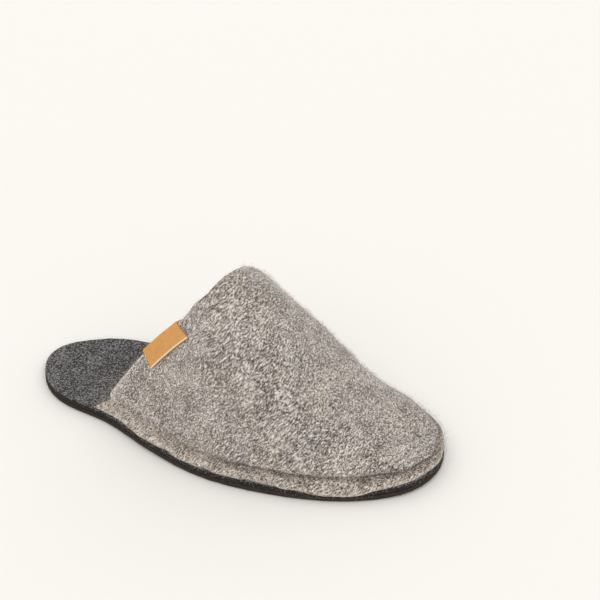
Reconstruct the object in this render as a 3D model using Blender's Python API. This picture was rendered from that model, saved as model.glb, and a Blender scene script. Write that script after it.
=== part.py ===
"""A backless house slipper of wool felt, for the right foot: outsole, felt insole, felt upper and leather label.

Metres, +Z up, the toe towards +X and the inner side of the foot towards +Y.
The slipper stands on z = 0, and the origin is under the middle of its bounding box.
Sections are worked out in the last's own frame: x from the back of the heel, y from the last's line,
z from the floor.
"""

from collections import namedtuple

import bmesh
import bpy
import numpy as np

# Driving sizes
length = 0.275
ball_width = 0.108
waist_width = 0.086
heel_width = 0.074
instep_height = 0.111
outsole_thickness = 0.0036
insole_thickness = 0.0038
insole_set_back = 0.0003
felt_thickness = 0.0042
seam_flange_width = 0.0080
flange_set_back = 0.0004
flange_slant = 0.0075
layer_gap = 0.0003
toe_spring = 0.0022
spring_start = 0.86
arch_lift = 0.0012
arch_start = 0.22
arch_end = 0.50
upper_back = (0.055, 0.066)
edge_radius = 0.0012
label_length = 0.034
label_height = 0.0115
label_thickness = 0.0014
label_start = 0.385

# How finely the curves are cut
outline_stations = 34
upper_columns = 40
upper_rows = 14
label_columns = 8
label_rows = 4
curve_steps = 4000
ridge_step = 1e-3
face_step = 1e-3

# Outline of the sole. along is a share of the length, and the two half widths are shares of the named width.
OutlineRow = namedtuple("OutlineRow", "along follows lateral medial")
outline_rows = [
    OutlineRow(0.05, "heel", 0.342, 0.330),
    OutlineRow(0.14, "heel", 0.460, 0.470),
    OutlineRow(0.25, "heel", 0.496, 0.510),
    OutlineRow(0.38, "waist", 0.564, 0.450),
    OutlineRow(0.52, "ball", 0.541, 0.394),
    OutlineRow(0.66, "ball", 0.519, 0.481),
    OutlineRow(0.80, "ball", 0.431, 0.500),
    OutlineRow(0.91, "ball", 0.292, 0.417),
    OutlineRow(0.97, "ball", 0.157, 0.290),
]
toe_tip_offset = 0.06

# Top line of the last. height is a share of the instep height and offset a share of the ball width.
RidgeRow = namedtuple("RidgeRow", "along height offset")
ridge_rows = [
    RidgeRow(0.48, 1.000, 0.020),
    RidgeRow(0.56, 0.990, 0.020),
    RidgeRow(0.64, 0.795, 0.020),
    RidgeRow(0.72, 0.545, 0.020),
    RidgeRow(0.80, 0.345, 0.024),
    RidgeRow(0.88, 0.210, 0.024),
]

# Sections of the upper, from the collar round to the toe. around is the share of the way along the foot line,
# ridge_along is where the section meets the top line, rise and lean are the pull up and inwards at the foot
# as shares of the section's height, rake is the pull forward there as a share of the way to the top line,
# ahead is the pull along the top line, and outer and inner are the pulls across it on either side of the foot,
# all three as shares of the way back to the foot.
SectionRow = namedtuple("SectionRow", "around ridge_along rise lean rake ahead outer inner")
section_rows = [
    SectionRow(0.00, 0.524, 0.59, 0.06, 0.32, 0.00, 0.96, 1.17),
    SectionRow(0.15, 0.538, 0.64, 0.05, 0.35, 0.00, 0.86, 1.17),
    SectionRow(0.35, 0.615, 0.65, 0.04, 0.32, 0.02, 0.77, 1.15),
    SectionRow(0.55, 0.725, 0.61, 0.02, 0.21, 0.10, 0.73, 1.09),
    SectionRow(0.75, 0.835, 0.57, -0.02, 0.05, 0.35, 0.70, 1.00),
    SectionRow(0.90, 0.866, 0.56, -0.05, -0.08, 0.50, 0.68, 0.84),
    SectionRow(1.00, 0.868, 0.56, -0.06, -0.12, 0.55, 0.68, 0.68),
]


def smooth_through(keys, values, at):
    """Reads a smooth curve through the table's values at the given keys."""
    keys = np.asarray(keys, float)
    values = np.asarray(values, float)
    steps = np.diff(keys)
    rises = np.diff(values) / steps
    slopes = np.empty_like(values)
    slopes[1:-1] = (rises[:-1] * steps[1:] + rises[1:] * steps[:-1]) / (steps[1:] + steps[:-1])
    slopes[0] = rises[0] + (rises[0] - slopes[1]) / 2
    slopes[-1] = rises[-1] + (rises[-1] - slopes[-2]) / 2
    at = np.clip(at, keys[0], keys[-1])
    span = np.clip(np.searchsorted(keys, at, side="right") - 1, 0, len(steps) - 1)
    t = (at - keys[span]) / steps[span]
    step = steps[span]
    return (
        values[span] * (1 + 2 * t) * (1 - t) ** 2
        + values[span + 1] * t**2 * (3 - 2 * t)
        + slopes[span] * step * t * (1 - t) ** 2
        - slopes[span + 1] * step * t**2 * (1 - t)
    )


def closed_spline(points, count):
    """Cuts a closed cubic spline through the points into count steps."""
    points = np.asarray(points, float)
    chords = np.linalg.norm(np.roll(points, -1, axis=0) - points, axis=1)
    n = len(points)
    before = np.roll(chords, 1)
    system = np.zeros((n, n))
    pull = np.zeros((n, 2))
    for i in range(n):
        system[i, i - 1] = chords[i]
        system[i, i] = 2 * (chords[i] + before[i])
        system[i, (i + 1) % n] = before[i]
        into = (points[i] - points[i - 1]) / before[i]
        out_of = (points[(i + 1) % n] - points[i]) / chords[i]
        pull[i] = 3 * (chords[i] * into + before[i] * out_of)
    slopes = np.linalg.solve(system, pull)
    knots = np.concatenate([[0], np.cumsum(chords)])
    at = np.linspace(0, knots[-1], count, endpoint=False)
    span = np.clip(np.searchsorted(knots, at, side="right") - 1, 0, n - 1)
    step = chords[span][:, None]
    t = ((at - knots[span]) / chords[span])[:, None]
    ahead = (span + 1) % n
    return (
        points[span] * (1 + 2 * t) * (1 - t) ** 2
        + points[ahead] * t**2 * (3 - 2 * t)
        + slopes[span] * step * t * (1 - t) ** 2
        - slopes[ahead] * step * t**2 * (1 - t)
    )


def sole_outline():
    """Returns the sole's outline as a closed curve that starts at the back of the heel, and the toe tip's index."""
    widths = {"heel": heel_width, "waist": waist_width, "ball": ball_width}
    lateral = [(row.along * length, -row.lateral * widths[row.follows]) for row in outline_rows]
    medial = [(row.along * length, row.medial * widths[row.follows]) for row in outline_rows]
    toe = (length, toe_tip_offset * ball_width)
    curve = closed_spline([(0.0, 0.0)] + lateral + [toe] + medial[::-1], curve_steps)
    curve[:, 0] -= curve[:, 0].min()
    curve[:, 0] *= length / curve[:, 0].max()
    curve = np.roll(curve, -curve[:, 0].argmin(), axis=0)
    return curve, curve[:, 0].argmax()


OUTLINE, TIP = sole_outline()
MIDDLE_X = length / 2
MIDDLE_Y = (OUTLINE[:, 1].min() + OUTLINE[:, 1].max()) / 2
SOLE_TOP = outsole_thickness + layer_gap + insole_thickness
FLANGE_BOTTOM = SOLE_TOP + layer_gap
FLANGE_TOP = FLANGE_BOTTOM + felt_thickness


def lift(x):
    """How far the bent sole stands off the floor at x: a low arch behind the ball, and the toe spring."""
    share = np.asarray(x, float) / length
    arch = np.clip((share - arch_start) / (arch_end - arch_start), 0, 1)
    spring = np.clip((share - spring_start) / (1 - spring_start), 0, 1)
    return arch_lift * np.sin(np.pi * arch) ** 2 + toe_spring * spring**2


def edges(inward):
    """The outline moved inwards, as its lateral and its medial edge, each from the heel's back to the toe's tip."""
    along = np.roll(OUTLINE, -1, axis=0) - np.roll(OUTLINE, 1, axis=0)
    along /= np.linalg.norm(along, axis=1)[:, None]
    loop = OUTLINE + np.stack([-along[:, 1], along[:, 0]], axis=1) * inward
    return loop[: TIP + 1], np.concatenate([loop[TIP:], loop[:1]])[::-1]


def read_along(curve, keys, at):
    """Points of the curve where its keys meet the values in at."""
    return np.stack([np.interp(at, keys, curve[:, 0]), np.interp(at, keys, curve[:, 1])], axis=-1)


def mesh_object(name, verts, faces, colour, roughness, metallic=0.0):
    """Makes an object from points in the last's frame, with smooth shading and its own material."""
    mesh = bpy.data.meshes.new(name)
    placed = np.asarray(verts, float) - (MIDDLE_X, MIDDLE_Y, 0.0)
    mesh.from_pydata(placed.tolist(), [], faces)
    shape = bmesh.new()
    shape.from_mesh(mesh)
    bmesh.ops.remove_doubles(shape, verts=shape.verts, dist=1e-6)
    bmesh.ops.dissolve_degenerate(shape, edges=shape.edges, dist=1e-6)
    bmesh.ops.recalc_face_normals(shape, faces=shape.faces)
    shape.to_mesh(mesh)
    shape.free()
    mesh.shade_smooth()
    mesh.set_sharp_from_angle(angle=np.radians(40))
    material = bpy.data.materials.new(name)
    material.use_nodes = True
    shader = material.node_tree.nodes["Principled BSDF"]
    shader.inputs["Base Color"].default_value = (*colour, 1.0)
    shader.inputs["Roughness"].default_value = roughness
    shader.inputs["Metallic"].default_value = metallic
    mesh.materials.append(material)
    thing = bpy.data.objects.new(name, mesh)
    bpy.context.scene.collection.objects.link(thing)
    return thing


def slab(name, bottom, top, set_back, colour, roughness):
    """A layer of the sole with rounded edges, bent by the lift. Its faces run straight across, so it has flats."""
    turn = np.linspace(0, np.pi, outline_stations + 1)
    stations = length * (1 - np.cos(turn)) / 2
    quarter = np.radians([0, 30, 60, 90])
    rounding = list(zip(edge_radius * (1 - np.sin(quarter)), edge_radius * (1 - np.cos(quarter))))
    levels = [(inward, bottom + rise) for inward, rise in rounding]
    levels += [(inward, top - rise) for inward, rise in rounding[::-1]]
    whole = edges(0.0)
    verts, loops = [], []
    for inward, z in levels:
        lateral, medial = (
            read_along(edge, full[:, 0], stations) for edge, full in zip(edges(set_back + inward), whole)
        )
        ring = np.concatenate([lateral, medial[-2:0:-1]])
        heights = z + lift(np.concatenate([stations, stations[-2:0:-1]]))
        loops.append(range(len(verts), len(verts) + len(ring)))
        verts += [(x, y, height) for (x, y), height in zip(ring, heights)]
    count = len(loops[0])
    faces = []
    for low, high in zip(loops, loops[1:]):
        for i in range(count):
            j = (i + 1) % count
            faces.append((low[i], low[j], high[j], high[i]))
    for loop in (loops[0], loops[-1]):
        for i in range(outline_stations):
            corners = (loop[i], loop[i + 1], loop[-i - 1], loop[-i % count])
            faces.append(tuple(dict.fromkeys(corners)))
    return mesh_object(name, verts, faces, colour, roughness)


def foot_line(side, back, inward, shares):
    """Points of an inset edge from the upper's back end to the toe tip, at shares of that way."""
    edge = edges(inward)[side]
    walked = np.concatenate([[0], np.cumsum(np.linalg.norm(np.diff(edge, axis=0), axis=1))])
    start = np.interp(back, edge[:, 0], walked)
    return read_along(edge, walked, start + (walked[-1] - start) * shares)


def ridge_point(along):
    """A point of the top line, and the line's rise per metre there."""
    keys = [row.along for row in ridge_rows]
    heights = [row.height * instep_height for row in ridge_rows]
    offsets = [row.offset * ball_width for row in ridge_rows]
    ahead = np.minimum(along + ridge_step, keys[-1])
    behind = np.maximum(along - ridge_step, keys[0])
    climbed = smooth_through(keys, heights, ahead) - smooth_through(keys, heights, behind)
    slope = climbed / ((ahead - behind) * length)
    point = [along * length, smooth_through(keys, offsets, along), smooth_through(keys, heights, along)]
    return np.stack(point, axis=-1), slope


def section_curve(field, shares):
    """One column of the sections' table, read smoothly at shares of the way round to the toe."""
    return smooth_through([row.around for row in section_rows], [getattr(row, field) for row in section_rows], shares)


def outer_face(side, shares, climb):
    """Points of the upper's outer face on one side: shares runs from the collar to the toe tip, and climb from
    the foot line up to the top line."""
    shares, climb = np.broadcast_arrays(shares, climb)
    fields = ("rise", "lean", "rake", "ahead", ("outer", "inner")[side], "ridge_along")
    rise, lean, rake, ahead, across, ridge_along = (section_curve(field, shares) for field in fields)
    foot = foot_line(side, upper_back[side] + flange_slant, seam_flange_width, shares)
    foot = np.concatenate([foot, (FLANGE_TOP + lift(foot[..., 0]))[..., None]], axis=-1)
    top, slope = ridge_point(ridge_along)
    way = foot - top
    flat = np.hypot(way[..., 0], way[..., 1])
    low = foot.copy()
    low[..., 0] -= way[..., 0] * (rake - lean * way[..., 2] / flat)
    low[..., 1] += way[..., 1] * lean * way[..., 2] / flat
    low[..., 2] -= rise * way[..., 2]
    high = top.copy()
    high[..., 0] += ahead * way[..., 0]
    high[..., 1] += across * way[..., 1]
    high[..., 2] += slope * ahead * way[..., 0]
    t = climb[..., None]
    return foot * (1 - t) ** 3 + 3 * low * t * (1 - t) ** 2 + 3 * high * t**2 * (1 - t) + top * t**3


def outer_slopes(side, shares, climb):
    """How the outer face's points move with shares and with climb, and the normal that points out of the felt."""
    shares, climb = np.broadcast_arrays(shares, climb)
    low, high = np.maximum(shares - face_step, 0), np.minimum(shares + face_step, 1)
    with_shares = outer_face(side, high, climb) - outer_face(side, low, climb)
    with_shares /= (high - low)[..., None]
    low, high = np.maximum(climb - face_step, 0), np.minimum(climb + face_step, 1)
    with_climb = outer_face(side, shares, high) - outer_face(side, shares, low)
    with_climb /= (high - low)[..., None]
    normal = unit(np.cross(with_shares, with_climb)) * (1, -1)[side]
    return with_shares, with_climb, normal


def unit(vectors):
    return vectors / np.maximum(np.linalg.norm(vectors, axis=-1), 1e-12)[..., None]


def upper():
    """The felt upper: one wall, open at the collar and underneath, turned out into a flange along its foot."""
    shares = np.linspace(0, 1, upper_columns + 1)
    climb = np.linspace(0, 1, upper_rows + 1)
    points = [outer_face(side, shares[:, None], climb) for side in (0, 1)]
    normals = [outer_slopes(side, shares[:, None], climb)[2] for side in (0, 1)]
    slope = ridge_point(section_curve("ridge_along", shares))[1]
    crown = unit(np.column_stack([-slope, np.zeros_like(slope), np.ones_like(slope)]))
    toe = unit(normals[0][-1, :-1] + normals[1][-1, :-1])
    toe_line = (points[0][-1] + points[1][-1]) / 2
    for outer, normal in zip(points, normals):
        outer[-1] = toe_line
        normal[:, -1] = crown
        normal[-1, :-1] = toe
    verts, faces = [], []
    for side in (0, 1):
        outer = points[side]
        inner = outer - normals[side] * felt_thickness
        inner[:, 0, 2] = FLANGE_BOTTOM + lift(outer[:, 0, 0])
        rim, rounded = (
            foot_line(side, upper_back[side], flange_set_back + inward, shares) for inward in (0.0, edge_radius)
        )
        raised = lift(rim[:, 0])
        flange = [
            np.column_stack([rounded, FLANGE_TOP + raised]),
            np.column_stack([rim, FLANGE_TOP - edge_radius + raised]),
            np.column_stack([rim, FLANGE_BOTTOM + edge_radius + raised]),
            np.column_stack([rounded, FLANGE_BOTTOM + raised]),
        ]
        grid = np.concatenate([outer[:, ::-1], np.stack(flange, axis=1), inner], axis=1)
        index = add_grid(verts, faces, grid)
        for k in range(upper_rows):
            faces.append((index[0, k], index[0, k + 1], index[0, -2 - k], index[0, -1 - k]))
        faces.append(tuple(index[0, upper_rows : -upper_rows]))
    return mesh_object("upper", verts, faces, (0.30, 0.285, 0.27), 0.95)


def add_grid(verts, faces, grid):
    """Adds a grid of points and the faces between its rows, and returns the points' numbers."""
    columns, rows = grid.shape[:2]
    index = np.arange(len(verts), len(verts) + columns * rows).reshape(columns, rows)
    verts += [tuple(point) for point in grid.reshape(-1, 3)]
    for i in range(columns - 1):
        for k in range(rows - 1):
            faces.append((index[i, k], index[i + 1, k], index[i + 1, k + 1], index[i, k + 1]))
    return index


def label():
    """The leather label, square to the collar and folded over it on the lateral side, bare."""
    fine = np.linspace(0, 1, curve_steps)
    edge = outer_face(0, 0.0, fine)
    walked = np.concatenate([[0], np.cumsum(np.linalg.norm(np.diff(edge, axis=0), axis=1))])
    along = label_start * walked[-1] + np.linspace(0, label_length, label_columns + 1)
    climb = np.interp(along, walked, fine)
    with_shares, with_climb, _ = outer_slopes(0, 0.0, climb)
    skew = (with_shares * with_climb).sum(axis=1) / (with_climb**2).sum(axis=1)
    square = np.linalg.norm(with_shares - skew[:, None] * with_climb, axis=1)
    shares = np.linspace(0, label_height, label_rows + 1)[:, None] / square
    face = outer_face(0, shares, climb - skew * shares)
    normal = outer_slopes(0, shares, climb - skew * shares)[2]
    back_out = unit(face[0] - face[1])
    lines = []
    for clear in (layer_gap + label_thickness, layer_gap):
        outside = face + normal * clear
        inside = face - normal * (felt_thickness + clear)
        fold = [face[0] + normal[0] * clear / 2 + back_out * clear]
        fold.append(fold[0] - normal[0] * (felt_thickness + clear))
        lines.append(np.concatenate([outside[::-1], fold, inside]))
    outer_line, inner_line = lines
    ring = np.concatenate([outer_line, inner_line[::-1], outer_line[:1]]).transpose(1, 0, 2)
    verts, faces = [], []
    index = add_grid(verts, faces, ring)
    for i in (0, -1):
        for k in range(len(outer_line) - 1):
            faces.append((index[i, k], index[i, k + 1], index[i, -3 - k], index[i, -2 - k]))
    return mesh_object("label", verts, faces, (0.55, 0.29, 0.11), 0.6)


def main():
    for old in list(bpy.data.objects):
        bpy.data.objects.remove(old)
    slab("outsole", 0.0, outsole_thickness, 0.0, (0.045, 0.043, 0.042), 0.85)
    slab("insole", outsole_thickness + layer_gap, SOLE_TOP, insole_set_back, (0.06, 0.062, 0.068), 0.95)
    upper()
    label()


main()
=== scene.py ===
import math

import bpy
import numpy as np
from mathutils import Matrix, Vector
from mathutils.bvhtree import BVHTree


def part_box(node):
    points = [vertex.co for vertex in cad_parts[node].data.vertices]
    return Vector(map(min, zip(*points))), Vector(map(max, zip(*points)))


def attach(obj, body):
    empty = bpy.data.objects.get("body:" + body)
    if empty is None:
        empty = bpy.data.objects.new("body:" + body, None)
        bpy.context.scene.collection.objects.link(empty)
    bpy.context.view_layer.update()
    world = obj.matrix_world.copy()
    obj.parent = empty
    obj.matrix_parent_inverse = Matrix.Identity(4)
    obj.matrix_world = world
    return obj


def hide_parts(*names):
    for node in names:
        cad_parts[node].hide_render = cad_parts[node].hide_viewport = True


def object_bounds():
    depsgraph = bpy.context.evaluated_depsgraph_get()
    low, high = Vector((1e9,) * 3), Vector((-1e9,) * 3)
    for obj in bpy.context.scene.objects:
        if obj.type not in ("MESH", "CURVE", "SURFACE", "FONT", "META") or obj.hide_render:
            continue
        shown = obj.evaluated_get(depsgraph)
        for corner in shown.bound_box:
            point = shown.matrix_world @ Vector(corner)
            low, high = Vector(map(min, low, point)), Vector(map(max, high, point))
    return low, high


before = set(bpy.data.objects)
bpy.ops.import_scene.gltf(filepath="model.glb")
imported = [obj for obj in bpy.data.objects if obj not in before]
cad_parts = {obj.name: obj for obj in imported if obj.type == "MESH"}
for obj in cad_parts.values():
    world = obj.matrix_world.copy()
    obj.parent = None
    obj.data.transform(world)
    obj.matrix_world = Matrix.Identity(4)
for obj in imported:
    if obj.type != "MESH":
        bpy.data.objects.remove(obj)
cadLow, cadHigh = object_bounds()
soleLength = cadHigh.x - cadLow.x
flangeTop = 0.0122  # the flat of the seam flange, where the sole lies on the floor


# Selection and modelling helpers

def deselectAll():
    bpy.ops.object.select_all(action="DESELECT")


def pick(piece):
    deselectAll()
    piece.select_set(True)
    bpy.context.view_layer.objects.active = piece


def applyModifier(piece, kind, **settings):
    pick(piece)
    modifier = piece.modifiers.new(kind.title(), kind)
    for key, value in settings.items():
        setattr(modifier, key, value)
    bpy.ops.object.modifier_apply(modifier=modifier.name)


def copyNode(node, name):
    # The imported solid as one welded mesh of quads
    piece = bpy.data.objects.new(name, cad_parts[node].data.copy())
    bpy.context.scene.collection.objects.link(piece)
    piece.data.name = name
    piece.data.materials.clear()
    pick(piece)
    if piece.data.has_custom_normals:
        bpy.ops.mesh.customdata_custom_splitnormals_clear()
    bpy.ops.object.mode_set(mode="EDIT")
    bpy.ops.mesh.select_all(action="SELECT")
    bpy.ops.mesh.remove_doubles(threshold=2e-5)
    bpy.ops.mesh.tris_convert_to_quads(face_threshold=math.radians(30), shape_threshold=math.radians(60))
    bpy.ops.object.mode_set(mode="OBJECT")
    return piece


def finishPiece(piece, material, node):
    # Smooth, with its material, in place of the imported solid
    pick(piece)
    bpy.ops.object.shade_smooth()
    piece.data.materials.append(material)
    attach(piece, "root")
    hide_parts(node)


def points(piece):
    co = np.empty(len(piece.data.vertices) * 3)
    piece.data.vertices.foreach_get("co", co)
    return co.reshape(-1, 3)


def normals(piece):
    found = np.empty(len(piece.data.vertices) * 3)
    piece.data.vertices.foreach_get("normal", found)
    return found.reshape(-1, 3)


def movePoints(piece, co):
    piece.data.vertices.foreach_set("co", co.ravel())
    piece.data.update()


def storeMask(piece, name, values):
    mask = piece.data.attributes.new(name, "FLOAT", "POINT")
    mask.data.foreach_set("value", np.asarray(values, np.float32))


def softStep(values, low, high):
    t = np.clip((values - low) / (high - low), 0, 1)
    return t * t * (3 - 2 * t)


def bell(values, middle, width):
    return np.exp(-((values - middle) / width) ** 2)


def reshape(co, forms):
    # Each form pushes the points around its place, less and less with distance
    for form in forms:
        away = (co - form["at"]) / form["reach"]
        co = co + np.exp(-(away**2).sum(axis=1))[:, None] * form["push"]
    return co


def faceTree(node, steepest=1.1):
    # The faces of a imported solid, for distances: all of them, or only its upright walls
    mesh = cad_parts[node].data
    faces = [face.vertices for face in mesh.polygons if abs(face.normal.z) < steepest]
    return BVHTree.FromPolygons([vertex.co for vertex in mesh.vertices], faces)


def cloudTexture(name, size, depth):
    clouds = bpy.data.textures.new(name, "CLOUDS")
    clouds.noise_scale = size
    clouds.noise_depth = depth
    return clouds


# Shader helpers

class Link:
    # Wraps a socket so that shader maths reads as maths
    def __init__(self, shader, socket):
        self.shader = shader
        self.socket = socket

    def math(self, operation, *others):
        return self.shader.node("ShaderNodeMath", {"operation": operation}, [self, *others])

    def __add__(self, other):
        return self.math("ADD", other)

    def __sub__(self, other):
        return self.math("SUBTRACT", other)

    def __mul__(self, other):
        return self.math("MULTIPLY", other)


class Shader:
    def __init__(self, name):
        self.material = bpy.data.materials.new(name)
        self.material.use_nodes = True
        self.tree = self.material.node_tree
        self.surface = self.tree.nodes["Principled BSDF"]
        self.coordinates = self.node("ShaderNodeTexCoord", output="Object")

    def node(self, kind, settings=None, sockets=(), output=0):
        made = self.tree.nodes.new(kind)
        for key, value in (settings or {}).items():
            setattr(made, key, value)
        pairs = sockets.items() if isinstance(sockets, dict) else enumerate(sockets)
        for key, value in pairs:
            self.feed(made.inputs[key], value)
        return Link(self, made.outputs[output])

    def feed(self, socket, value):
        if isinstance(value, Link):
            self.tree.links.new(value.socket, socket)
        else:
            socket.default_value = value

    def mask(self, name):
        return self.node("ShaderNodeAttribute", {"attribute_name": name}, output="Fac")

    def noise(self, place, scale, detail=2.0, roughness=0.5):
        values = {"Vector": place, "Scale": scale, "Detail": detail, "Roughness": roughness}
        return self.node("ShaderNodeTexNoise", sockets=values, output="Fac")

    def span(self, value, low, high):
        return self.node("ShaderNodeMapRange", {"clamp": True}, [value, low, high])

    def mix(self, factor, first, second):
        made = self.tree.nodes.new("ShaderNodeMix")
        made.data_type = "RGBA"
        for key, value in ((0, factor), (6, first), (7, second)):
            self.feed(made.inputs[key], (*value, 1) if isinstance(value, tuple) else value)
        return Link(self, made.outputs[2])

    def turned(self, angles, cell, warp, bend):
        # Object coordinates bent by a slow noise, then turned, with one pattern cell as long as cell
        values = {"Vector": self.coordinates, "Scale": warp, "Detail": 1.0}
        drift = self.node("ShaderNodeTexNoise", sockets=values, output="Color")
        centred = self.node("ShaderNodeVectorMath", {"operation": "SUBTRACT"}, [drift, (0.5, 0.5, 0.5)])
        moved = self.node("ShaderNodeVectorMath", {"operation": "SCALE"}, {0: centred, "Scale": bend})
        place = self.node("ShaderNodeVectorMath", {"operation": "ADD"}, [self.coordinates, moved])
        sockets = {"Vector": place, "Rotation": angles, "Scale": cell}
        return self.node("ShaderNodeMapping", {"vector_type": "TEXTURE"}, sockets)

    def bump(self, height, strength, distance):
        sockets = {"Height": height, "Strength": strength, "Distance": distance}
        return self.node("ShaderNodeBump", sockets=sockets)

    def finish(self, colour, roughness, normal=None, **fixed):
        self.feed(self.surface.inputs["Base Color"], colour)
        self.feed(self.surface.inputs["Roughness"], roughness)
        if normal:
            self.feed(self.surface.inputs["Normal"], normal)
        for key, value in fixed.items():
            self.surface.inputs[key.replace("_", " ")].default_value = value
        return self.material


# Felt: light and dark fibres that cross, over slow patches of tone

feltGrain = (0.471, 0.671, 0.570)  # the way most fibres lie, up and over the shoe
feltCross = (0.340, -0.090, 0.350)  # how the crossing layers turn from it
feltPattern = {
    "layers": ((0.0, 1.0), (1.2, 1.25), (-1.2, 0.9)),  # turn and size of each
    "bendScale": 90.0,
    "bend": 0.0016,
    "speckScale": 1900.0,
    "speckShare": 0.25,
    "patchScale": 70.0,
    "patchShare": 0.14,
    "tintAngles": (0.4, 0.1, 0.2),
    "tintBendScale": 30.0,
    "tintBend": 0.02,
    "tintScale": 45.0,
    "tintSpan": (0.35, 0.65),
    "shadeSpan": (0.43, 0.332),
    "glowSpan": (0.58, 0.678),
    "bumpStrength": 0.7,
    "bumpDepth": 0.0004,
    "roughness": 0.95,
}
feltEdges = {
    # side and sideShade: painted shade, darkening the soles' upright sides under the flange
    "side": (0.024, 0.016, 0.010),
    "sideShade": 0.15,
    # pale, paleShare and rimShift lighten the flange and rim: the cut felt's paler tone with a painted
    # highlight
    "pale": (0.45, 0.375, 0.305),
    "paleShare": 0.8,
    "rimShift": 0.05,
    # creaseShade: painted shade in the crease at the foot of the wall
    "creaseShade": 0.12,
}
feltLooks = {
    "grey": {
        "dark": (0.038, 0.032, 0.028),
        "light": (0.80, 0.74, 0.69),
        "cool": (0.239, 0.213, 0.211),
        "warm": (0.258, 0.219, 0.182),
        "cell": 0.00066,
        "stretch": 5.2,
        "darkShare": 0.95,
        "lightShare": 0.92,
        "sheen": 0.22,
    },
    "charcoal": {
        "dark": (0.018, 0.018, 0.020),
        "light": (0.32, 0.31, 0.315),
        "cool": (0.047, 0.047, 0.050),
        "warm": (0.052, 0.046, 0.042),
        "cell": 0.00078,
        "stretch": 2.6,
        "darkShare": 0.92,
        "lightShare": 0.85,
        "sheen": 0.04,
    },
}


def grainAngles(turn):
    # The turn that carries X onto the grain, swung a little to one side
    way = (Vector(feltGrain) + Vector(feltCross) * turn).normalized()
    return (0.0, -math.asin(way.z), math.atan2(way.y, way.x))


def feltShader(name, look, seam=False):
    shader = Shader(name)
    pattern = feltPattern
    cell = look["cell"]
    layers = []
    for turn, size in pattern["layers"]:
        period = (cell * size * look["stretch"], cell * size, cell * size)
        place = shader.turned(grainAngles(turn), period, pattern["bendScale"], pattern["bend"])
        layers.append(shader.noise(place, 1.0, 1.0, 0.5))
    brightest = layers[0].math("MAXIMUM", layers[1]).math("MAXIMUM", layers[2])
    darkest = layers[0].math("MINIMUM", layers[1]).math("MINIMUM", layers[2])
    specks = shader.noise(shader.coordinates, pattern["speckScale"], 1.0)
    patches = shader.noise(shader.coordinates, pattern["patchScale"], 3.0, 0.6)
    slow = shader.turned(pattern["tintAngles"], (1, 1, 1), pattern["tintBendScale"], pattern["tintBend"])
    tint = shader.noise(slow, pattern["tintScale"], 2.0, 0.5)
    base = shader.mix(shader.span(tint, *pattern["tintSpan"]), look["cool"], look["warm"])
    shift = (patches - 0.5) * pattern["patchShare"] + (specks - 0.5) * pattern["speckShare"]
    if seam:
        flange = shader.mask("flange")
        rim = shader.mask("rim")
        crease = shader.mask("crease")
        # The up-facing flange and the rim are lightened: paler cut felt with a painted highlight
        pale = (flange * feltEdges["paleShare"]).math("MAXIMUM", rim * feltEdges["paleShare"])
        base = shader.mix(pale, base, feltEdges["pale"])
        # The crease mask darkens as painted shade
        shift = shift + rim * feltEdges["rimShift"] - crease * feltEdges["creaseShade"]
    else:
        # Painted shade: the upright sides of the sole are darkened
        sideEdge = shader.mask("sideEdge")
        base = shader.mix(sideEdge, base, feltEdges["side"])
        shift = shift - sideEdge * feltEdges["sideShade"]
    shade = shader.span(darkest + shift, *pattern["shadeSpan"]) * look["darkShare"]
    glow = shader.span(brightest + shift, *pattern["glowSpan"]) * look["lightShare"]
    colour = shader.mix(shade, base, look["dark"])
    colour = shader.mix(glow, colour, look["light"])
    height = brightest * 0.5 + darkest * 0.3 + specks * 0.2
    normal = shader.bump(height, pattern["bumpStrength"], pattern["bumpDepth"])
    return shader.finish(
        colour, pattern["roughness"], normal,
        Sheen_Weight=look["sheen"], Sheen_Roughness=0.55, Specular_IOR_Level=0.12,
    )


greyFelt = feltShader("greyFelt", feltLooks["grey"], seam=True)
charcoalFelt = feltShader("charcoalFelt", feltLooks["charcoal"])


def fibreShader(name, darkest, lightest):
    # Each strand has its own shade
    shader = Shader(name)
    shade = shader.span(shader.mask("shade"), 0.35, 0.65)
    colour = shader.mix(shade, darkest, lightest)
    return shader.finish(colour, roughness=0.8, Specular_IOR_Level=0.2)


greyFibre = fibreShader("greyFibre", (0.040, 0.034, 0.031), (0.80, 0.74, 0.69))
wispFibre = fibreShader("wispFibre", (0.16, 0.14, 0.125), (0.90, 0.85, 0.80))
paleFibre = fibreShader("paleFibre", (0.28, 0.24, 0.20), (0.80, 0.73, 0.65))
darkFibre = fibreShader("darkFibre", (0.010, 0.010, 0.010), (0.22, 0.215, 0.215))
# edgeFibre: near-black brown strands for the soles' sides, the outsole's own dark, and painted shade on the
# insole's sides
edgeFibre = fibreShader("edgeFibre", (0.009, 0.006, 0.005), (0.092, 0.069, 0.051))


# The bend of the sole, and the swells of its outline that every layer shares

bendValues = {
    "archStart": 0.22,
    "archLength": 0.28,
    "archLift": 0.0012,
    "springStart": 0.86,
    "springLift": 0.0022,
}
soleForms = [
    # the outer waist, the flange's two back ends, and the heel's inner and outer side
    {"at": (-0.050, -0.040, 0.006), "reach": (0.040, 0.022, 0.022), "push": (0.0, -0.0048, 0.0)},
    {"at": (-0.082, -0.034, 0.012), "reach": (0.011, 0.012, 0.0030), "push": (0.0055, 0.0, 0.0)},
    {"at": (-0.082, 0.036, 0.012), "reach": (0.011, 0.012, 0.0030), "push": (0.0055, 0.0, 0.0)},
    {"at": (-0.126, 0.034, 0.006), "reach": (0.022, 0.022, 0.020), "push": (0.0010, -0.0036, 0.0)},
    {"at": (-0.105, -0.034, 0.006), "reach": (0.026, 0.018, 0.020), "push": (0.0, -0.0020, 0.0)},
]


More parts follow.
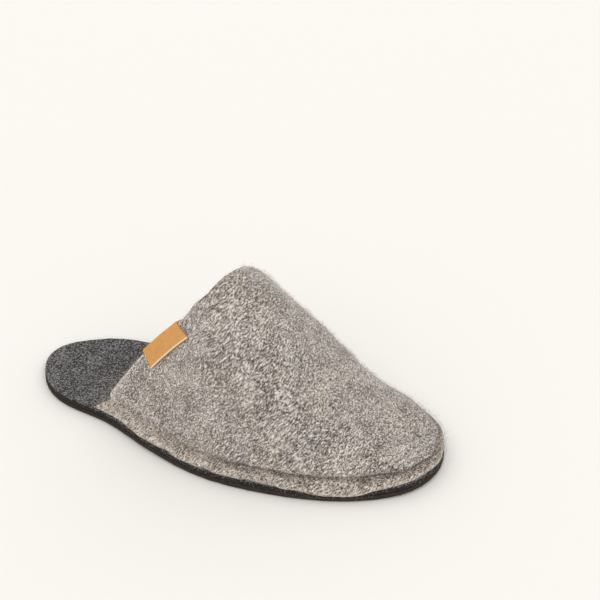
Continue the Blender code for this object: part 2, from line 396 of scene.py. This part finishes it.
def soleLift(x):
    # How far the bent sole stands off the floor
    share = (np.asarray(x) - cadLow.x) / soleLength
    arch = np.clip((share - bendValues["archStart"]) / bendValues["archLength"], 0, 1)
    spring = np.clip((share - bendValues["springStart"]) / (1 - bendValues["springStart"]), 0, 1)
    return bendValues["archLift"] * np.sin(np.pi * arch) ** 2 + bendValues["springLift"] * spring**2


# Upper: the thick grey felt, softened, with hollows and swells

upperValues = {
    "sharpAngle": 48,
    "rimAbove": 0.016,
    "rounding": 0.70,
    "levels": 2,
    "lumpSize": 0.013,
    "lumpHeight": 0.0011,
    "grainSize": 0.0042,
    "grainHeight": 0.00045,
    "centre": 0.02,
    "ringRadius": 0.06,
    "puckerLength": 0.013,
    "puckerDepth": 0.0006,
    "puckerBand": (0.004, 0.005),  # height above the flange, width
    "roll": 0.0018,
    "rollBand": (0.0052, 0.0040),
    "rollStart": (0.0004, 0.003),
    "rollAlong": (-0.02, 0.09),
    "flangeBand": (0.0002, 0.0016),
    "creaseBand": (0.0012, 0.0011),
    "creaseAlong": (-0.035, 0.020),
    "wallHeight": 0.006,
    "hangReach": (0.0005, 0.0055),
    "hangBelow": 0.0006,
    "hangOut": 0.45,
    "droop": 0.0007,
    "deepDroop": 0.0034,
    "droopAt": (0.088, -0.048),
    "droopReach": 0.024,
    "coreEnd": 0.07,
    "coreHeight": 0.012,
    "outsideSpan": (-0.1, 0.25),
    "insideShare": 0.15,
    "undersideSpan": (-0.7, -0.2),
    "labelClear": (0.0020, 0.0035),
    "rimSpan": (0.55, 0.95),
}
upperForms = [
    # place in the middle, reach along each axis, push
    {"at": (0.030, -0.046, 0.046), "reach": (0.030, 0.020, 0.016), "push": (0.000, 0.0022, 0.000)},
    {"at": (0.062, -0.018, 0.058), "reach": (0.024, 0.016, 0.020), "push": (-0.001, 0.000, -0.0016)},
    {"at": (0.020, 0.030, 0.085), "reach": (0.022, 0.014, 0.020), "push": (-0.001, -0.0016, -0.0006)},
    {"at": (-0.020, -0.040, 0.040), "reach": (0.016, 0.020, 0.022), "push": (0.000, 0.0014, 0.000)},
    {"at": (0.088, 0.010, 0.034), "reach": (0.016, 0.030, 0.016), "push": (-0.0006, 0.000, -0.0012)},
    {"at": (0.070, 0.046, 0.036), "reach": (0.026, 0.018, 0.014), "push": (0.000, -0.0016, 0.000)},
    {"at": (0.004, -0.005, 0.109), "reach": (0.020, 0.015, 0.014), "push": (-0.0038, 0.0000, 0.0042)},
    {"at": (-0.010, -0.019, 0.097), "reach": (0.013, 0.010, 0.010), "push": (-0.0018, 0.0000, 0.0018)},
    {"at": (-0.014, 0.029, 0.090), "reach": (0.020, 0.012, 0.018), "push": (0.0034, -0.0010, -0.0020)},
]

print("upper: the felt shell")
upper = copyNode("upper", "upperFelt")
bpy.ops.object.mode_set(mode="EDIT")
bpy.ops.mesh.select_mode(type="EDGE")
bpy.ops.mesh.select_all(action="DESELECT")
bpy.ops.mesh.edges_select_sharp(sharpness=math.radians(upperValues["sharpAngle"]))
bpy.ops.transform.edge_crease(value=upperValues["rounding"])
bpy.ops.object.mode_set(mode="OBJECT")

# The rim's faces are those whose corners all lie on sharp edges, above the flange
sharpEnds = set()
for edge in upper.data.edges:
    if edge.select:
        sharpEnds.update(edge.vertices)
rimFaces = [
    face for face in upper.data.polygons
    if all(v in sharpEnds for v in face.vertices) and face.center.z > upperValues["rimAbove"]
]
rimGroup = upper.vertex_groups.new(name="rimEdge")
rimGroup.add(sorted({v for face in rimFaces for v in face.vertices}), 1.0, "REPLACE")
print("  rim faces:", len(rimFaces))
applyModifier(upper, "SUBSURF", levels=upperValues["levels"], render_levels=upperValues["levels"])
for layer in ("lump", "grain"):
    clouds = cloudTexture(layer, upperValues[layer + "Size"], 1)
    applyModifier(
        upper, "DISPLACE", texture=clouds, strength=upperValues[layer + "Height"], texture_coords="LOCAL"
    )

# The foot of the wall is puckered by the seam and rolls out over the flange, most at the toe
co = reshape(points(upper), upperForms)
climb = co[:, 2] - soleLift(co[:, 0]) - flangeTop
angle = np.arctan2(co[:, 1], co[:, 0] - upperValues["centre"])
around = angle * upperValues["ringRadius"] / upperValues["puckerLength"] * 2 * np.pi
outward = np.stack([np.cos(angle), np.sin(angle), np.zeros_like(angle)], axis=1)
pucker = np.sin(around + 1.3 * np.sin(around * 0.37)) * bell(climb, *upperValues["puckerBand"])
roll = bell(climb, *upperValues["rollBand"]) * softStep(climb, *upperValues["rollStart"])
roll *= 0.5 + 1.9 * softStep(co[:, 0], *upperValues["rollAlong"])
co += outward * (pucker * upperValues["puckerDepth"] + roll * upperValues["roll"])[:, None]
climb = co[:, 2] - soleLift(co[:, 0]) - flangeTop
# The flange mask also lightens the up-facing flange in the shader: paler cut felt with a painted highlight
onFlange = 1 - softStep(climb, *upperValues["flangeBand"])
storeMask(upper, "flange", onFlange)
# Painted shade in the crease above the flange, weaker towards the heel
folded = 0.25 + 0.75 * softStep(co[:, 0], *upperValues["creaseAlong"])
storeMask(upper, "crease", folded * bell(climb, *upperValues["creaseBand"]))

# The flange's edge hangs a little over the sole, most at the outer ball of the foot
soleWall = faceTree("insole", steepest=0.3)
wallHeights = soleLift(co[:, 0]) + upperValues["wallHeight"]
fromEdge = np.array([soleWall.find_nearest((x, y, z))[3] for (x, y, _), z in zip(co, wallHeights)])
hang = (1 - softStep(fromEdge, *upperValues["hangReach"])) * (climb < upperValues["hangBelow"])
fromBall = np.hypot(*(co[:, :2] - upperValues["droopAt"]).T) / upperValues["droopReach"]
wave = 1 + 0.5 * np.sin(around * 0.43 + 1.1) + 0.4 * np.sin(around * 0.91)
fall = upperValues["droop"] * wave + upperValues["deepDroop"] * np.exp(-(fromBall**2))
co += (outward * upperValues["hangOut"] - (0, 0, 1)) * (hang * fall)[:, None]
co = reshape(co, soleForms)
movePoints(upper, co)

# Loose fibres grow on the outside, thinly on the inside and not beside the label
facing = normals(upper)
core = np.zeros_like(co)
core[:, 0] = np.minimum(co[:, 0], upperValues["coreEnd"])
core[:, 2] = upperValues["coreHeight"]
away = (co - core) / np.linalg.norm(co - core, axis=1)[:, None]
outside = softStep((facing * away).sum(axis=1), *upperValues["outsideSpan"])
outside = np.maximum(outside, upperValues["insideShare"])
outside = np.maximum(outside, onFlange * softStep(facing[:, 2], *upperValues["undersideSpan"]))
labelFace = faceTree("label")
fromLabel = np.array([labelFace.find_nearest(place)[3] for place in co])
storeMask(upper, "outside", outside * softStep(fromLabel, *upperValues["labelClear"]))
# The rim mask lightens the collar's cut edge in the shader: paler felt with a painted highlight
rimWeights = np.zeros(len(co))
for vertex in upper.data.vertices:
    for group in vertex.groups:
        rimWeights[vertex.index] = group.weight
storeMask(upper, "rim", softStep(rimWeights, *upperValues["rimSpan"]))
finishPiece(upper, greyFelt, "upper")


# Insole and outsole: slabs with soft, worn edges

soleValues = {
    "insole": {"cutEvery": 0.012, "levels": 2, "lumpSize": 0.009, "lumpHeight": 0.0005},
    "outsole": {"cutEvery": 0.014, "levels": 1, "lumpSize": 0.012, "lumpHeight": 0.0003},
}


def softSlab(node, name, material):
    values = soleValues[node]
    slab = copyNode(node, name)
    low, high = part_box(node)
    cuts = int((high.y - low.y) / values["cutEvery"])
    for i in range(1, cuts):
        bpy.ops.object.mode_set(mode="EDIT")
        bpy.ops.mesh.select_all(action="SELECT")
        y = low.y + (high.y - low.y) * i / cuts
        bpy.ops.mesh.bisect(plane_co=(0, y, 0), plane_no=(0, 1, 0))
        bpy.ops.object.mode_set(mode="OBJECT")
    applyModifier(
        slab, "SUBSURF", levels=values["levels"], render_levels=values["levels"], subdivision_type="SIMPLE"
    )
    clouds = cloudTexture(name + "Lumps", values["lumpSize"], 2)
    applyModifier(slab, "DISPLACE", texture=clouds, strength=values["lumpHeight"], texture_coords="LOCAL")
    co = points(slab)
    if node == "outsole":
        # no lump sinks below the underside
        co[:, 2] = np.maximum(co[:, 2], soleLift(co[:, 0]))
    movePoints(slab, reshape(co, soleForms))
    facing = normals(slab)
    storeMask(slab, "topSide", softStep(facing[:, 2], 0.4, 0.8))
    # sideEdge marks the upright sides: the charcoal felt darkens them as painted shade, and edge fibres
    # grow there
    storeMask(slab, "sideEdge", 1 - softStep(np.abs(facing[:, 2]), 0.3, 0.7))
    finishPiece(slab, material, node)
    return slab


soleLook = {
    "speckScale": 900.0,
    "contrast": 1.6,
    "dark": (0.012, 0.008, 0.005),
    "light": (0.058, 0.044, 0.034),
}


def soleShader():
    shader = Shader("soleSheet")
    specks = shader.noise(shader.coordinates, soleLook["speckScale"], 2.0, 0.6)
    tone = (specks - 0.5) * soleLook["contrast"] + 0.5
    colour = shader.mix(shader.span(tone, 0.1, 0.9), soleLook["dark"], soleLook["light"])
    normal = shader.bump(specks * 0.5, strength=0.5, distance=0.0004)
    return shader.finish(colour, roughness=0.85, normal=normal, Specular_IOR_Level=0.2)


print("insole and outsole")
insole = softSlab("insole", "insoleFelt", charcoalFelt)
outsole = softSlab("outsole", "outsoleSheet", soleShader())


# Label: bare tan leather folded over the collar

labelValues = {
    "bevel": 0.00028,
    "bevelAngle": 40,
    "levels": 2,
    "columns": 8,
    "lowEnd": (-0.0459, -0.0219, 0.0583),
    "highEnd": (-0.0225, -0.0190, 0.0845),
    "foldDepth": 0.0015,
    "faceGap": 0.0010,
    "seatBeyond": 0.001,
    "pull": (-0.34, 0.20),  # along the fold, at its low and high end
    "shorten": (0.84, 0.68),
}


leatherLook = {
    "poreScale": 1400.0,
    "hazeScale": 260.0,
    "fineScale": 2200.0,
    "tan": (0.58, 0.275, 0.080),
    "pale": (0.70, 0.355, 0.115),
    "deep": (0.52, 0.24, 0.06),
    # the bright lower edge: paler raw cut leather with a painted highlight
    "cut": (0.93, 0.72, 0.42),
    "cutBand": (1.0, 0.6),  # millimetres from the lower edge
    "cutShare": 0.8,
}


def leatherShader():
    shader = Shader("tanLeather")
    pores = shader.node(
        "ShaderNodeTexVoronoi", {"feature": "DISTANCE_TO_EDGE"},
        {"Vector": shader.coordinates, "Scale": leatherLook["poreScale"]}, output="Distance",
    )
    haze = shader.noise(shader.coordinates, leatherLook["hazeScale"], 3.0, 0.6)
    fine = shader.noise(shader.coordinates, leatherLook["fineScale"], 2.0, 0.6)
    # A bright line along the lower edge: paler raw cut leather with a painted highlight
    cutEdge = shader.span(shader.mask("aboveEdge"), *leatherLook["cutBand"])
    colour = shader.mix(shader.span(haze, 0.3, 0.7), leatherLook["tan"], leatherLook["pale"])
    colour = shader.mix((fine - 0.5) * 1.6 + 0.25, colour, leatherLook["deep"])
    colour = shader.mix(cutEdge * leatherLook["cutShare"], colour, leatherLook["cut"])
    height = shader.span(pores, 0.0, 0.25) * 0.4 + haze * 0.4 + fine * 0.2
    normal = shader.bump(height, strength=0.35, distance=0.0003)
    return shader.finish(colour, roughness=0.55, normal=normal, Specular_IOR_Level=0.35)


print("label")
label = copyNode("label", "leatherLabel")
upperFace = faceTree("upper")


def gapTo(place):
    spot, normal, _, _ = upperFace.find_nearest(place)
    return (Vector(place) - spot).dot(normal), normal


def alongLine(co, ends):
    # Share along a line, and how far each point stands off it
    way = ends[1] - ends[0]
    share = np.clip((co - ends[0]) @ way / (way @ way), 0, 1)
    aside = co - ends[0] - share[:, None] * way
    return share, aside, np.linalg.norm(aside, axis=1)


# The outer flap's lower edge is squared up, and then seated on the felt again
foldEnds = np.array([labelValues["lowEnd"], labelValues["highEnd"]])
alongFold = (foldEnds[1] - foldEnds[0]) / np.linalg.norm(foldEnds[1] - foldEnds[0])
co = points(label)
seats = [gapTo(place) for place in co]
outer = np.array([normal.y < 0 for _, normal in seats])
share, aside, drop = alongLine(co, foldEnds)
column = np.rint(share * labelValues["columns"])
onFace = outer & (np.array([gap for gap, _ in seats]) > labelValues["faceGap"])
lowerEdge = [
    max(np.flatnonzero(onFace & (column == k)), key=lambda i: drop[i])
    for k in range(labelValues["columns"] + 1)
]
reach = outer * np.clip(drop - labelValues["foldDepth"], 0, None)
pull = np.interp(share, (0, 1), labelValues["pull"])
shorten = np.interp(share, (0, 1), labelValues["shorten"])
down = aside / np.maximum(drop, 1e-9)[:, None]
co += alongFold * (pull * reach)[:, None] - down * ((1 - shorten) * reach)[:, None]
for i in np.flatnonzero(reach > labelValues["seatBeyond"]):
    gap, facing = gapTo(co[i])
    co[i] += np.array(facing) * (seats[i][0] - gap)
movePoints(label, co)
lowerLine = co[lowerEdge]
applyModifier(
    label, "BEVEL", width=labelValues["bevel"], segments=2,
    limit_method="ANGLE", angle_limit=math.radians(labelValues["bevelAngle"]),
)
applyModifier(label, "SUBSURF", levels=labelValues["levels"], render_levels=labelValues["levels"])

# Millimetres from the lower edge, for its bright line: the pale raw cut with a painted highlight
stretches = [alongLine(points(label), lowerLine[k : k + 2])[2] for k in range(labelValues["columns"])]
storeMask(label, "aboveEdge", np.min(stretches, axis=0) * 1000)
finishPiece(label, leatherShader(), "label")


# Loose fibres: bent strands, scattered over a piece and made real

strandSizes = {
    # length, width, rise
    "hair": (0.0029, 0.00030, 0.0003),
    "wisp": (0.0046, 0.00024, 0.0005),
    "longHair": (0.0075, 0.00020, 0.0012),
}
strandColumns = (
    # shift to the side as a share of the length, lift as a share of the rise, width
    (0.0, -0.15, 0.7),
    (0.10, 0.45, 1.0),
    (-0.04, 1.0, 0.25),
)
strandTwist = 0.6  # radians, to either side about its own length
lowestFibre = 0.0001
fuzzPlan = [
    # strand, piece, ground, density, spread and lift in radians, sizes, seed, material, slot, mask
    ("hair", "upperFuzz", upper, 1.1e6, (1.0, 0.22), (0.5, 1.2), 11, greyFibre, "upper", "outside"),
    ("hair", "flangeFuzz", upper, 1.6e6, (2.4, 0.90), (0.5, 1.3), 31, paleFibre, "upper", "flange"),
    ("hair", "rimFuzz", upper, 1.6e6, (2.4, 0.90), (0.4, 0.9), 41, paleFibre, "upper", "rim"),
    ("hair", "insoleFuzz", insole, 1.3e6, (3.1, 0.30), (0.4, 1.0), 51, darkFibre, "insole", "topSide"),
    ("hair", "soleEdgeFuzz", insole, 2.6e6, (3.1, 0.90), (0.4, 1.0), 61, edgeFibre, "insole", "sideEdge"),
    ("hair", "outsoleFuzz", outsole, 8.0e5, (3.1, 0.60), (0.3, 0.8), 81, edgeFibre, "outsole", "sideEdge"),
    ("wisp", "upperWisps", upper, 6.5e5, (0.9, 0.35), (0.5, 1.2), 21, wispFibre, "upper", "outside"),
    ("longHair", "strayFibres", upper, 1.0e5, (3.1, 1.3), (0.5, 1.3), 71, paleFibre, "upper", "flange"),
]


def strand(name, length, width, rise):
    # A flat hair that lies along X, narrows and lifts towards its tip
    deselectAll()
    bpy.ops.mesh.primitive_grid_add(x_subdivisions=2, y_subdivisions=1, size=1, location=(0, 0, 0))
    hair = bpy.context.object
    hair.name = name
    hair.scale = (length, width, 1)
    bpy.ops.object.transform_apply(location=False, rotation=False, scale=True)
    for column, (aside, lift, narrow) in enumerate(strandColumns):
        for vertex in hair.data.vertices:
            vertex.select = abs(vertex.co.x - length * (column - 1) / 2) < 1e-7
        bpy.ops.object.mode_set(mode="EDIT")
        bpy.ops.mesh.select_mode(type="VERT")
        bpy.ops.transform.resize(value=(1, narrow, 1))
        bpy.ops.transform.translate(value=(length / 2, aside * length, lift * rise))
        bpy.ops.mesh.select_all(action="DESELECT")
        bpy.ops.object.mode_set(mode="OBJECT")
    return hair


def scatter(hair, name, source, density, spread, size, seed, material, slot, mask):
    piece = bpy.data.objects.new(name, bpy.data.meshes.new(name))
    bpy.context.scene.collection.objects.link(piece)
    tree = bpy.data.node_groups.new(name, "GeometryNodeTree")
    tree.interface.new_socket("Geometry", in_out="INPUT", socket_type="NodeSocketGeometry")
    tree.interface.new_socket("Geometry", in_out="OUTPUT", socket_type="NodeSocketGeometry")

    def add(kind, settings=None, sockets=None):
        made = tree.nodes.new(kind)
        for key, value in (settings or {}).items():
            setattr(made, key, value)
        for key, value in (sockets or {}).items():
            if isinstance(value, bpy.types.NodeSocket):
                tree.links.new(value, made.inputs[key])
            else:
                made.inputs[key].default_value = value
        return made

    def random(kind, low, high, shift):
        first = {"FLOAT_VECTOR": 0, "FLOAT": 2}[kind]
        sockets = {first: low, first + 1: high, "Seed": seed + shift}
        return add("FunctionNodeRandomValue", {"data_type": kind}, sockets).outputs[first // 2]

    ground = add("GeometryNodeObjectInfo", {"transform_space": "RELATIVE"}, {"Object": source})
    single = add("GeometryNodeObjectInfo", {"transform_space": "ORIGINAL"}, {"Object": hair})
    wanted = add("GeometryNodeInputNamedAttribute", {"data_type": "FLOAT"}, {"Name": mask})
    amount = add("ShaderNodeMath", {"operation": "MULTIPLY"}, {0: wanted.outputs[0], 1: density})
    spots = add("GeometryNodeDistributePointsOnFaces", {"distribute_method": "RANDOM"}, {
        "Mesh": ground.outputs["Geometry"], "Density": amount.outputs[0], "Seed": seed,
    })
    upright = add("FunctionNodeAlignRotationToVector", {"axis": "Z"}, {"Vector": spots.outputs["Normal"]})
    combed = add("FunctionNodeAlignRotationToVector", {"axis": "X", "pivot_axis": "Z"}, {
        "Rotation": upright.outputs[0], "Vector": feltGrain,
    })
    turn = random("FLOAT_VECTOR", (-strandTwist, -spread[1], -spread[0]), (strandTwist, 0.02, spread[0]), 1)
    swing = add("FunctionNodeEulerToRotation", None, {0: turn})
    leaned = add("FunctionNodeRotateRotation", {"rotation_space": "LOCAL"}, {
        0: combed.outputs[0], 1: swing.outputs[0],
    })
    placed = add("GeometryNodeInstanceOnPoints", None, {
        "Points": spots.outputs["Points"], "Instance": single.outputs["Geometry"],
        "Rotation": leaned.outputs[0], "Scale": random("FLOAT", size[0], size[1], 2),
    })
    stored = add("GeometryNodeStoreNamedAttribute", {"data_type": "FLOAT", "domain": "INSTANCE"}, {
        "Geometry": placed.outputs[0], "Name": "shade", "Value": random("FLOAT", 0.0, 1.0, 3),
    })
    real = add("GeometryNodeRealizeInstances", None, {"Geometry": stored.outputs[0]})
    tree.links.new(real.outputs[0], tree.nodes.new("NodeGroupOutput").inputs[0])
    modifier = piece.modifiers.new("Scatter", "NODES")
    modifier.node_group = tree
    pick(piece)
    bpy.ops.object.modifier_apply(modifier=modifier.name)
    co = points(piece)
    co[:, 2] = np.maximum(co[:, 2], lowestFibre)
    movePoints(piece, co)
    piece.data.materials.clear()
    piece.data.materials.append(material)
    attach(piece, "root")
    print("  ", name, "faces:", len(piece.data.polygons))


print("loose fibres")
for kind, sizes in strandSizes.items():
    hair = strand(kind, *sizes)
    for wantedKind, *plan in fuzzPlan:
        if wantedKind == kind:
            scatter(hair, *plan)
    bpy.data.objects.remove(hair)


# Floor, light and camera

stageValues = {
    "floorHeight": -0.0002,
    "floorColour": (0.867, 0.856, 0.838),
    "roomColour": (1.0, 0.985, 0.955),
    "roomStrength": 0.955,
    "lightFrom": (0.3, -0.5, 1.0),
    "lightSpread": 70,
    "lightStrength": 0.62,
    "lightColour": (1.0, 0.985, 0.96),
}
cameraValues = {"place": (0.2994, -0.5526, 0.5540), "aim": (-0.0138, 0.1346, 0.0), "lens": 78.0}

print("stage")
deselectAll()
bpy.ops.mesh.primitive_plane_add(size=40, location=(0, 0, stageValues["floorHeight"]))
floor = bpy.context.object
floor.name = "floor"
floorColour = (*stageValues["floorColour"], 1)
floor.data.materials.append(Shader("floorPaper").finish(floorColour, roughness=0.9, Specular_IOR_Level=0.0))

world = bpy.context.scene.world or bpy.data.worlds.new("room")
bpy.context.scene.world = world
world.use_nodes = True
background = world.node_tree.nodes["Background"]
background.inputs["Color"].default_value = (*stageValues["roomColour"], 1)
background.inputs["Strength"].default_value = stageValues["roomStrength"]


def aimAt(piece, way):
    piece.rotation_euler = way.to_track_quat("-Z", "Y").to_euler()


deselectAll()
bpy.ops.object.light_add(type="SUN", location=stageValues["lightFrom"])
lamp = bpy.context.object
lamp.name = "windowLight"
lamp.data.angle = math.radians(stageValues["lightSpread"])
lamp.data.energy = stageValues["lightStrength"]
lamp.data.color = stageValues["lightColour"]
aimAt(lamp, -Vector(stageValues["lightFrom"]))

bpy.context.scene.view_settings.view_transform = "Standard"

deselectAll()
bpy.ops.object.camera_add(location=cameraValues["place"])
camera = bpy.context.object
camera.data.lens = cameraValues["lens"]
camera.data.sensor_width = 36
aimAt(camera, Vector(cameraValues["aim"]) - camera.location)
bpy.context.scene.camera = camera
